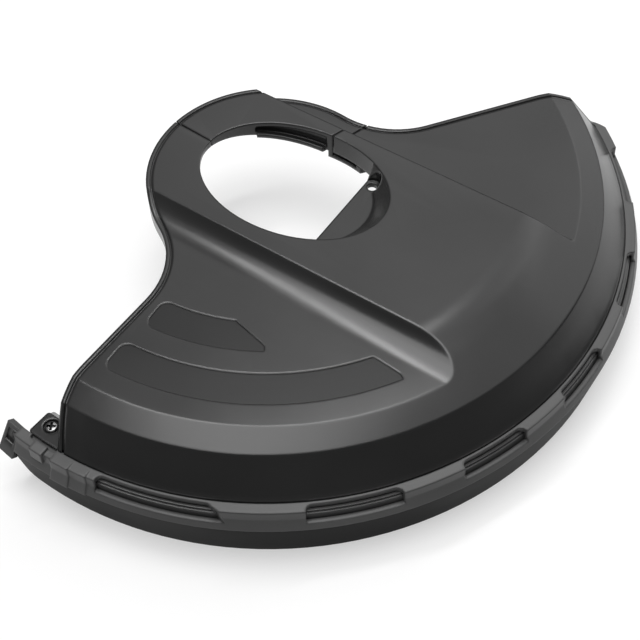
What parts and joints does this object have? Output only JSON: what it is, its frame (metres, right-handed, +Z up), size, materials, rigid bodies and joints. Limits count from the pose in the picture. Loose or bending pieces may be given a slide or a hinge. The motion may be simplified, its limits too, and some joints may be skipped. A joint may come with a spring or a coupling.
{
  "type": "trimmer blade guard",
  "caption": "Black plastic trimmer guard hood with clip-in collar bridge, slotted rim rail, sliding plant guard and screwed line cutter",
  "frame": {"origin": "centre of the oval motor opening, on the upper face of the ledge that the motor housing is screwed to", "axes": "+Z up out of the hood along the motor's axis; -Y from the opening towards the middle of the rim; +X to the right seen from above"},
  "size_m": [0.333, 0.2255, 0.0595],
  "materials": {
    "hood_plastic": "satin black moulded plastic with a fine grain",
    "rail_plastic": "satin black moulded plastic",
    "slider_plastic": "smooth black moulded plastic",
    "blade_steel": "ground steel sheet",
    "screw_steel": "bright zinc-plated steel"
  },
  "bodies": {
    "guard": {"hood": "hood_plastic", "collar_bridge": "hood_plastic", "rim_rail": "rail_plastic", "line_cutter_blade": "blade_steel", "blade_screw": "screw_steel"},
    "slider": {"plant_guard_slider": "slider_plastic"}
  },
  "joints": [
    {"name": "plant_guard_slide", "type": "hinge", "parent": "guard", "child": "slider", "pos_m": [0.001, 0.0167, -0.0266], "axis": [0, 0, -1], "range_deg": [0, 80]}
  ]
}
